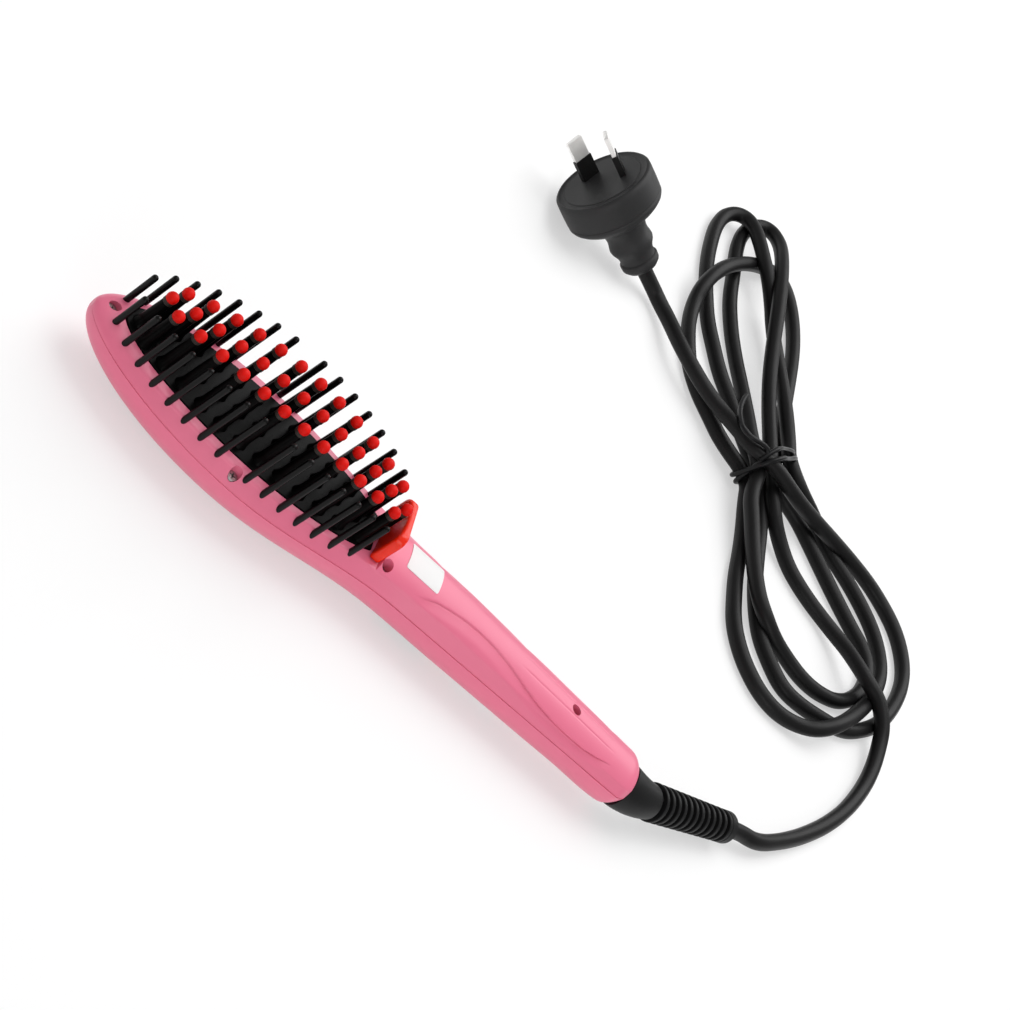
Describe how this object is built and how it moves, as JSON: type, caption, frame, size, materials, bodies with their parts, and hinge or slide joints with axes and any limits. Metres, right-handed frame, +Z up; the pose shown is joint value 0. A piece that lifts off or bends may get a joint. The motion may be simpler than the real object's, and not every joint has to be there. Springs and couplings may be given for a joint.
{
  "type": "electric hot comb",
  "caption": "Electric hair straightening brush with heated red-tipped pins, black guard teeth, red neck guard, swivelling corded handle and tied mains cord with plug.",
  "frame": {"origin": "on the table, under the middle of the pink housing (cord set left out)", "axes": "+X from the nose of the comb head to the cord end of the handle, +Z up from the back to the tooth tips, +Y across"},
  "size_m": [0.3688, 0.3693, 0.043],
  "materials": {
    "pink_plastic": "satin moulded plastic, fine grain",
    "red_plastic": "glossy",
    "red_silicone": "matt silicone",
    "black_nylon": "satin",
    "coated_aluminium": "black ceramic coating",
    "steel": "zinc plated",
    "bright_metal": "nickel plated",
    "brass": "turned",
    "amber_film": "film",
    "ceramic": "bare ceramic",
    "board_green": "solder mask",
    "black_gloss": "polished",
    "clear_window": "clear moulded",
    "button_grey": "satin",
    "white_wire": "glass fibre sleeve",
    "blue_wire": "pvc sleeve",
    "cord_rubber": "satin",
    "plug_plastic": "moulded rubbery plastic",
    "white_label": "blank paper"
  },
  "bodies": {
    "body": {"front_shell": "pink_plastic", "back_shell": "pink_plastic", "housing_screws": "steel", "heating_plate": "coated_aluminium", "heating_pins": "coated_aluminium", "silicone_caps": "red_silicone", "comb_ring": "black_nylon", "outer_bristles": "black_nylon", "neck_guard": "red_plastic", "insulating_film": "amber_film", "heater_elements": "ceramic", "heater_clamp": "steel", "clamp_screws": "steel", "thermal_fuse": "bright_metal", "temperature_sensor": "black_nylon", "control_board": "board_green", "board_screws": "steel", "display_module": "black_gloss", "display_window": "clear_window", "tactile_switches": "black_nylon", "heater_leads": "white_wire", "supply_leads": "blue_wire", "swivel_bush": "brass", "blank_label": "white_label"},
    "cord_set": {"swivel_head": "black_nylon", "strain_relief": "cord_rubber", "cord_lead": "cord_rubber", "cord_hank": "cord_rubber", "plug_lead": "cord_rubber", "cord_tie": "black_nylon", "plug_body": "plug_plastic", "plug_blades": "bright_metal", "blade_sleeves": "black_nylon"},
    "power_button_body": {"power_button": "red_plastic"},
    "plus_button_body": {"plus_button": "button_grey"},
    "minus_button_body": {"minus_button": "button_grey"}
  },
  "joints": [
    {"name": "cord_swivel", "type": "hinge", "parent": "body", "child": "cord_set", "pos_m": [0.107, 0, 0.0131], "axis": [1, 0, 0], "continuous": true},
    {"name": "power_button_press", "type": "slide", "parent": "body", "child": "power_button_body", "axis": [0, 0, 1], "range_m": [0, 0.0006], "stiffness_N_per_m": 800},
    {"name": "plus_button_press", "type": "slide", "parent": "body", "child": "plus_button_body", "axis": [0, 0, 1], "range_m": [0, 0.0006], "stiffness_N_per_m": 800},
    {"name": "minus_button_press", "type": "slide", "parent": "body", "child": "minus_button_body", "axis": [0, 0, 1], "range_m": [0, 0.0006], "stiffness_N_per_m": 800}
  ]
}
